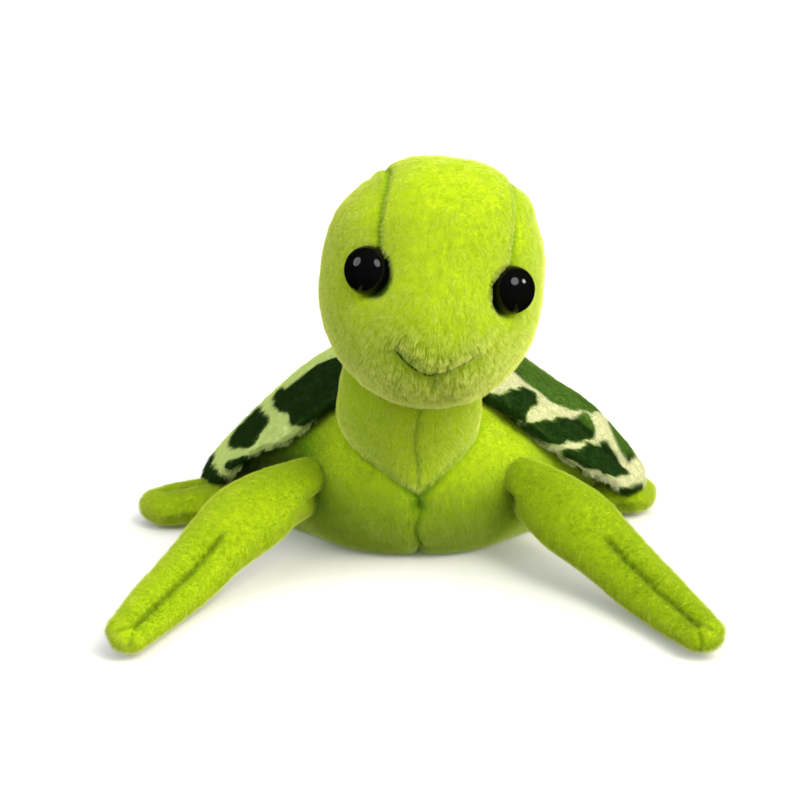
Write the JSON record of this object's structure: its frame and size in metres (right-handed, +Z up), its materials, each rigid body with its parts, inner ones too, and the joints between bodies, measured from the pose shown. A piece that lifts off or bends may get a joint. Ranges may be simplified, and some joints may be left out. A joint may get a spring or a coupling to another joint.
{
  "type": "plush sea turtle",
  "caption": "Small stuffed sea turtle in lime plush with a patterned padded shell, domed safety eyes and a soft neck, head and flippers that move.",
  "frame": {"origin": "on the flat of the belly, in its plane of rest, 19.5 mm in front of the body's middle", "axes": "+Z up, -Y the way the turtle faces, +X towards its own left side"},
  "size_m": [0.1131, 0.1406, 0.082],
  "materials": {
    "lime_plush": "short lime-green plush pile",
    "shell_plush": "short plush pile, dark green patches with cream and light green bands between them",
    "dark_plush": "short dark green plush pile",
    "stuffing": "loose white fibre filling",
    "pellet_cloth": "plain woven cloth bag",
    "eye_plastic": "polished black",
    "washer_plastic": "plain moulded",
    "thread": "dark green sewing thread",
    "lime_thread": "green sewing thread"
  },
  "bodies": {
    "trunk": {"body_cover": "lime_plush", "body_stuffing": "stuffing", "pellet_bag": "pellet_cloth", "shell_cover": "shell_plush", "shell_underside": "dark_plush", "shell_padding": "stuffing"},
    "neck": {"neck_cover": "lime_plush", "neck_stuffing": "stuffing"},
    "head": {"head_cover": "lime_plush", "head_stuffing": "stuffing", "mouth_thread": "thread", "eye_left": "eye_plastic", "eye_right": "eye_plastic", "eye_washer_left": "washer_plastic", "eye_washer_right": "washer_plastic"},
    "front_left": {"front_flipper_left": "lime_plush", "front_flipper_stuffing_left": "stuffing", "front_flipper_topstitch_left": "lime_thread"},
    "front_right": {"front_flipper_right": "lime_plush", "front_flipper_stuffing_right": "stuffing", "front_flipper_topstitch_right": "lime_thread"},
    "rear_left": {"rear_flipper_left": "lime_plush", "rear_flipper_stuffing_left": "stuffing", "rear_flipper_topstitch_left": "lime_thread"},
    "rear_right": {"rear_flipper_right": "lime_plush", "rear_flipper_stuffing_right": "stuffing", "rear_flipper_topstitch_right": "lime_thread"}
  },
  "joints": [
    {"name": "neck_nod", "type": "hinge", "parent": "trunk", "child": "neck", "pos_m": [-0.0012, -0.0025, 0.022], "axis": [1, 0, 0], "range_deg": [-12, 12], "stiffness_Nm_per_rad": 0.12},
    {"name": "head_turn", "type": "hinge", "parent": "neck", "child": "head", "pos_m": [-0.0005, -0.012, 0.0405], "axis": [0.0336, -0.4566, 0.8891], "range_deg": [-25, 25], "stiffness_Nm_per_rad": 0.05},
    {"name": "front_flipper_left_flap", "type": "hinge", "parent": "trunk", "child": "front_left", "pos_m": [0.0208, -0.0052, 0.013], "axis": [-0.9186, -0.3951, 0], "range_deg": [0, 30], "stiffness_Nm_per_rad": 0.01},
    {"name": "front_flipper_right_flap", "type": "hinge", "parent": "trunk", "child": "front_right", "pos_m": [-0.0208, -0.0052, 0.013], "axis": [-0.839, 0.5442, 0], "range_deg": [0, 30], "stiffness_Nm_per_rad": 0.01},
    {"name": "rear_flipper_left_swing", "type": "hinge", "parent": "trunk", "child": "rear_left", "pos_m": [0.0296, 0.0255, 0.004], "axis": [0, 0, 1], "range_deg": [-15, 30], "stiffness_Nm_per_rad": 0.004},
    {"name": "rear_flipper_right_swing", "type": "hinge", "parent": "trunk", "child": "rear_right", "pos_m": [-0.0296, 0.0255, 0.004], "axis": [0, 0, -1], "range_deg": [-6, 40], "stiffness_Nm_per_rad": 0.004}
  ]
}
